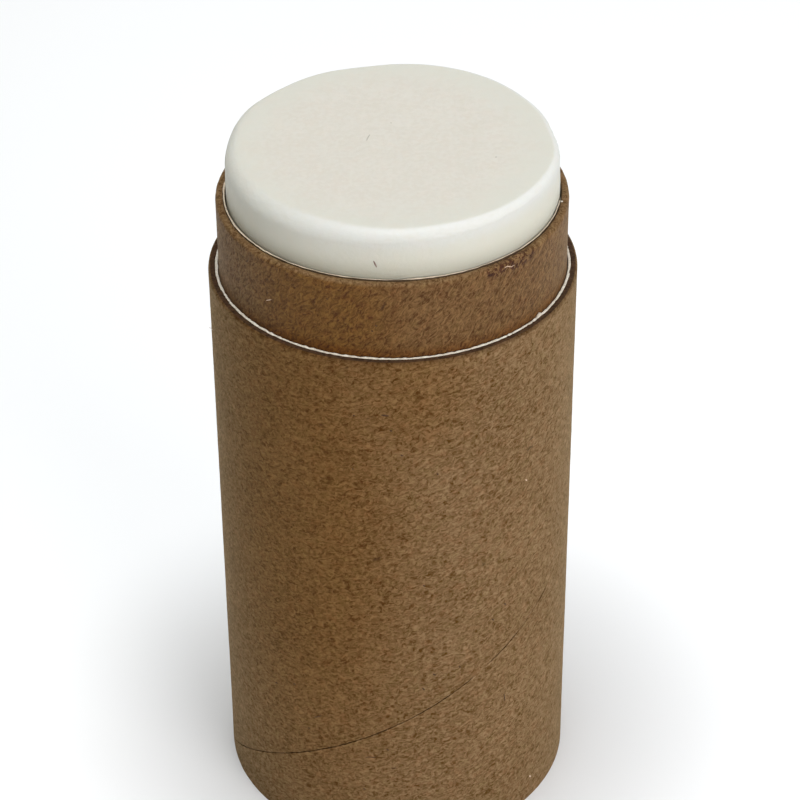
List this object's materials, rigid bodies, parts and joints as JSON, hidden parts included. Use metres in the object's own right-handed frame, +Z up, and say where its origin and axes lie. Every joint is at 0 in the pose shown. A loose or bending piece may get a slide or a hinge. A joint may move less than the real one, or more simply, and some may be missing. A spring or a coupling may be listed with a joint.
{
  "type": "push-up deodorant stick",
  "caption": "Push-up deodorant stick in a kraft paperboard tube: stepped neck for a cap, spiral seam, cream stick on a sliding board carrier.",
  "frame": {"origin": "centre of the tube's open foot, on the surface that it stands on", "axes": "+Z up along the tube's axis and the way the stick rises; -Y is the front, where the seam climbs from lower left to upper right"},
  "size_m": [0.045, 0.045, 0.0926],
  "materials": {
    "greaseproof_ply": "smooth pale greaseproof paper",
    "neck_board": "matt burnished kraft board with fine fibres",
    "white_ply": "matt white paper with a slightly torn edge",
    "core_board": "matt kraft board",
    "kraft_wrap": "matt kraft paper with visible light and dark fibres",
    "carrier_board": "matt kraft board",
    "cast_stick": "smooth waxy cream solid, faintly mottled"
  },
  "bodies": {
    "tube": {"inner_liner": "greaseproof_ply", "inner_tube": "neck_board", "outer_liner": "white_ply", "outer_tube": "core_board", "outer_wrap": "kraft_wrap"},
    "carrier": {"push_ring": "carrier_board", "push_disc": "carrier_board", "deodorant_stick": "cast_stick"}
  },
  "joints": [
    {"name": "push_up", "type": "slide", "parent": "tube", "child": "carrier", "axis": [0, 0, 1], "range_m": [-0.0103, 0.0656]}
  ]
}
